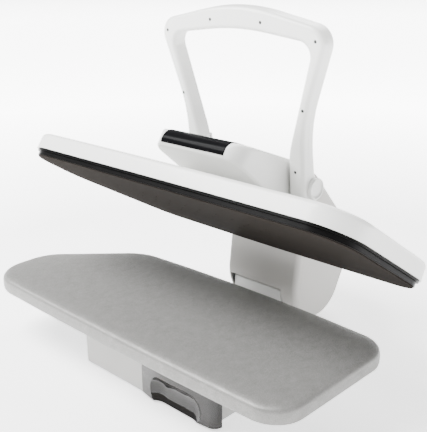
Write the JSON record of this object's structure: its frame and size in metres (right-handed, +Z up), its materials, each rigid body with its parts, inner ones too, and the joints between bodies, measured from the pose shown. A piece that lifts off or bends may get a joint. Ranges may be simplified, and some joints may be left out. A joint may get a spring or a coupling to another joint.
{
  "type": "steam ironing press",
  "caption": "Steam ironing press: heated plate on a sprung lifting arm with a hoop handle, over a padded board on a low base with a pull-out water tank",
  "frame": {"origin": "centre of the bounding box at the level of the surface it stands on, with the head open", "axes": "+X to the user's right along the board, +Y away from the user towards the arm, +Z up"},
  "size_m": [0.8376, 0.6318, 0.6834],
  "materials": {
    "white_shell": "smooth white moulding, satin",
    "grey_shell": "light grey moulding",
    "black_gloss": "black, high gloss",
    "black_plastic": "black moulding",
    "key_plastic": "grey keys",
    "cloth": "grey heat-proof cloth",
    "foam": "open foam",
    "tray_steel": "painted steel sheet",
    "plate_coating": "cast, with a dark non-stick coating",
    "cast_aluminium": "as cast",
    "steel": "zinc plated",
    "spring_steel": "oiled spring wire",
    "brass": "plain",
    "gasket": "black heat-proof rubber",
    "foot_rubber": "grey-black rubber",
    "hose": "translucent silicone hose",
    "smoked": "smoked clear plastic",
    "window": "smoked window",
    "circuit": "green circuit board",
    "screw_steel": "dark screws",
    "lamp": "red lens"
  },
  "bodies": {
    "base": {"board_cover": "cloth", "board_pad": "foam", "board_pan": "tray_steel", "board_screws": "screw_steel", "base_plate": "tray_steel", "rubber_feet": "foot_rubber", "base_screws": "screw_steel", "base_housing": "white_shell", "tank_bay": "grey_shell", "tank_socket": "black_plastic", "water_pump": "black_plastic", "pump_cradle": "foot_rubber", "feed_hose": "hose", "delivery_hose": "hose", "power_board": "circuit", "power_board_standoffs": "brass", "cord_inlet": "black_plastic", "hinge_bracket": "steel", "hinge_bushes": "brass", "hinge_cover": "grey_shell", "lift_spring": "spring_steel"},
    "tank": {"water_tank": "smoked", "tank_valve": "black_plastic"},
    "arm": {"arm_rear_cover": "white_shell", "arm_front_cover": "white_shell", "arm_plate_left": "steel", "arm_plate_right": "steel", "arm_spacers": "steel", "hinge_shaft": "steel", "arm_hose": "hose", "hose_clip": "black_plastic", "pivot_bushes": "brass"},
    "head": {"heating_plate": "plate_coating", "steam_chamber_lid": "cast_aluminium", "heating_element": "steel", "thermostat": "steel", "thermal_fuse": "brass", "gasket_ring": "gasket", "head_cover": "white_shell", "head_bracket": "steel", "plate_studs": "steel", "steam_hose": "hose", "pod_housing": "white_shell", "control_panel": "black_gloss", "display_window": "window", "display_module": "circuit", "indicator_lamps": "lamp", "control_board": "circuit", "handle_front_shell": "white_shell", "handle_rear_shell": "white_shell", "handle_core": "steel", "handle_screws": "screw_steel", "pivot_bolts": "steel", "pivot_caps": "white_shell"},
    "power_button": {"power_button": "key_plastic"},
    "temp_down_button": {"temp_down_button": "key_plastic"},
    "temp_up_button": {"temp_up_button": "key_plastic"},
    "steam_button": {"steam_button": "key_plastic"}
  },
  "joints": [
    {"name": "head_lift", "type": "hinge", "parent": "base", "child": "arm", "pos_m": [0, 0.15434, 0.045], "axis": [1, 0, 0], "range_deg": [0, 32.7], "stiffness_Nm_per_rad": 14, "springref_deg": -85.94, "deforming": ["lift_spring"]},
    {"name": "head_float", "type": "hinge", "parent": "arm", "child": "head", "pos_m": [0, 0.09397, 0.34246], "axis": [1, 0, 0], "range_deg": [-0.6, 0.6], "stiffness_Nm_per_rad": 4000},
    {"name": "tank_slide", "type": "slide", "parent": "base", "child": "tank", "axis": [0, -1, 0], "range_m": [0, 0.15]},
    {"name": "power_button_press", "type": "slide", "parent": "head", "child": "power_button", "axis": [0, -0.3614, -0.9324], "range_m": [0, 0.0012], "stiffness_N_per_m": 800, "springref_m": -0.0008},
    {"name": "temp_down_button_press", "type": "slide", "parent": "head", "child": "temp_down_button", "axis": [0, -0.3614, -0.9324], "range_m": [0, 0.0012], "stiffness_N_per_m": 800, "springref_m": -0.0008},
    {"name": "temp_up_button_press", "type": "slide", "parent": "head", "child": "temp_up_button", "axis": [0, -0.3614, -0.9324], "range_m": [0, 0.0012], "stiffness_N_per_m": 800, "springref_m": -0.0008},
    {"name": "steam_button_press", "type": "slide", "parent": "head", "child": "steam_button", "axis": [0, -0.3614, -0.9324], "range_m": [0, 0.0012], "stiffness_N_per_m": 800, "springref_m": -0.0008}
  ]
}
